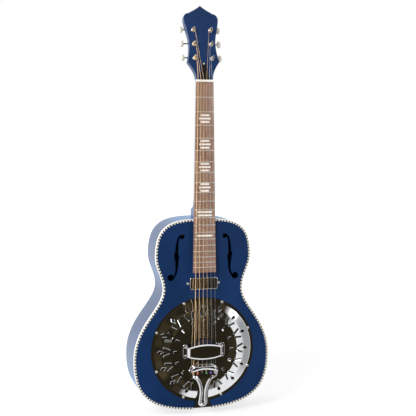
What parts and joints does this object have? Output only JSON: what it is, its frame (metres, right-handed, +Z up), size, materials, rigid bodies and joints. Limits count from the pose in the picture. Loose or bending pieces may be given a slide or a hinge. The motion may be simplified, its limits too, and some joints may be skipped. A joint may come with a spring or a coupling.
{
  "type": "resonator guitar",
  "caption": "Resonator guitar with a blue wooden body, a spun cone under a pierced chrome coverplate, a pickup and open worm-geared tuners whose keys turn the string posts.",
  "frame": {"origin": "middle of the nut's front face, on the fretboard surface", "axes": "+X to the treble side (right from the front), +Y from the face through the body to its back, +Z up the neck to the headstock"},
  "size_m": [0.343, 0.1334, 1.0002],
  "materials": {
    "blue_lacquer": "gloss deep blue lacquer",
    "cream_binding": "cream with dark checkers",
    "spruce": "bare",
    "maple": "bare",
    "spun_aluminium": "spun",
    "polished_chrome": "mirror polish",
    "nickel": "plated",
    "brass": "bright",
    "black_plastic": "gloss",
    "rosewood": "oiled",
    "pearl_inlay": "pearl",
    "bone": "polished",
    "string_bronze": "wound",
    "string_steel": "plain wire",
    "cream_button": "gloss"
  },
  "bodies": {
    "guitar": {"top_plate": "blue_lacquer", "rim_sides": "blue_lacquer", "end_strip": "blue_lacquer", "back_plate": "blue_lacquer", "top_binding": "cream_binding", "linings": "spruce", "neck_block": "maple", "end_block": "maple", "soundwell_ring": "maple", "resonator_cone": "spun_aluminium", "biscuit": "maple", "saddle": "maple", "coverplate": "polished_chrome", "palm_rest": "polished_chrome", "tailpiece": "polished_chrome", "endpin_jack": "nickel", "pickup_cover": "polished_chrome", "pickup_coils": "black_plastic", "pickup_base": "brass", "neck": "blue_lacquer", "fretboard": "rosewood", "frets": "nickel", "fret_inlays": "pearl_inlay", "nut": "bone", "truss_rod": "nickel", "truss_rod_cover": "black_plastic", "tuner_plates": "nickel", "tuner_bushings": "nickel", "screws": "nickel", "strings": "string_bronze"},
    "post_1": {"post_1": "nickel", "gear_1": "brass", "winding_1": "string_bronze"},
    "key_1": {"worm_1": "nickel", "button_1": "cream_button"},
    "post_2": {"post_2": "nickel", "gear_2": "brass", "winding_2": "string_bronze"},
    "key_2": {"worm_2": "nickel", "button_2": "cream_button"},
    "post_3": {"post_3": "nickel", "gear_3": "brass", "winding_3": "string_bronze"},
    "key_3": {"worm_3": "nickel", "button_3": "cream_button"},
    "post_4": {"post_4": "nickel", "gear_4": "brass", "winding_4": "string_bronze"},
    "key_4": {"worm_4": "nickel", "button_4": "cream_button"},
    "post_5": {"post_5": "nickel", "gear_5": "brass", "winding_5": "string_steel"},
    "key_5": {"worm_5": "nickel", "button_5": "cream_button"},
    "post_6": {"post_6": "nickel", "gear_6": "brass", "winding_6": "string_steel"},
    "key_6": {"worm_6": "nickel", "button_6": "cream_button"}
  },
  "joints": [
    {"name": "key_1_turn", "type": "hinge", "parent": "guitar", "child": "key_1", "pos_m": [-0.0213, 0.0374, 0.05815], "axis": [1, 0, 0], "continuous": true},
    {"name": "post_1_turn", "type": "hinge", "parent": "guitar", "child": "post_1", "pos_m": [-0.0213, 0.01579, 0.05596], "axis": [0, -0.9622, 0.2723], "continuous": true},
    {"name": "key_2_turn", "type": "hinge", "parent": "guitar", "child": "key_2", "pos_m": [-0.0213, 0.04707, 0.09231], "axis": [1, 0, 0], "continuous": true},
    {"name": "post_2_turn", "type": "hinge", "parent": "guitar", "child": "post_2", "pos_m": [-0.0213, 0.02545, 0.09012], "axis": [0, -0.9622, 0.2723], "continuous": true},
    {"name": "key_3_turn", "type": "hinge", "parent": "guitar", "child": "key_3", "pos_m": [-0.0213, 0.05673, 0.12647], "axis": [1, 0, 0], "continuous": true},
    {"name": "post_3_turn", "type": "hinge", "parent": "guitar", "child": "post_3", "pos_m": [-0.0213, 0.03512, 0.12427], "axis": [0, -0.9622, 0.2723], "continuous": true},
    {"name": "key_4_turn", "type": "hinge", "parent": "guitar", "child": "key_4", "pos_m": [0.0213, 0.05673, 0.12647], "axis": [1, 0, 0], "continuous": true},
    {"name": "post_4_turn", "type": "hinge", "parent": "guitar", "child": "post_4", "pos_m": [0.0213, 0.03512, 0.12427], "axis": [0, -0.9622, 0.2723], "continuous": true},
    {"name": "key_5_turn", "type": "hinge", "parent": "guitar", "child": "key_5", "pos_m": [0.0213, 0.04707, 0.09231], "axis": [1, 0, 0], "continuous": true},
    {"name": "post_5_turn", "type": "hinge", "parent": "guitar", "child": "post_5", "pos_m": [0.0213, 0.02545, 0.09012], "axis": [0, -0.9622, 0.2723], "continuous": true},
    {"name": "key_6_turn", "type": "hinge", "parent": "guitar", "child": "key_6", "pos_m": [0.0213, 0.0374, 0.05815], "axis": [1, 0, 0], "continuous": true},
    {"name": "post_6_turn", "type": "hinge", "parent": "guitar", "child": "post_6", "pos_m": [0.0213, 0.01579, 0.05596], "axis": [0, -0.9622, 0.2723], "continuous": true}
  ],
  "couplings": [
    {"joint": "post_1_turn", "follows": "key_1_turn", "ratio": 0.071429},
    {"joint": "post_2_turn", "follows": "key_2_turn", "ratio": 0.071429},
    {"joint": "post_3_turn", "follows": "key_3_turn", "ratio": 0.071429},
    {"joint": "post_4_turn", "follows": "key_4_turn", "ratio": 0.071429},
    {"joint": "post_5_turn", "follows": "key_5_turn", "ratio": 0.071429},
    {"joint": "post_6_turn", "follows": "key_6_turn", "ratio": 0.071429}
  ]
}
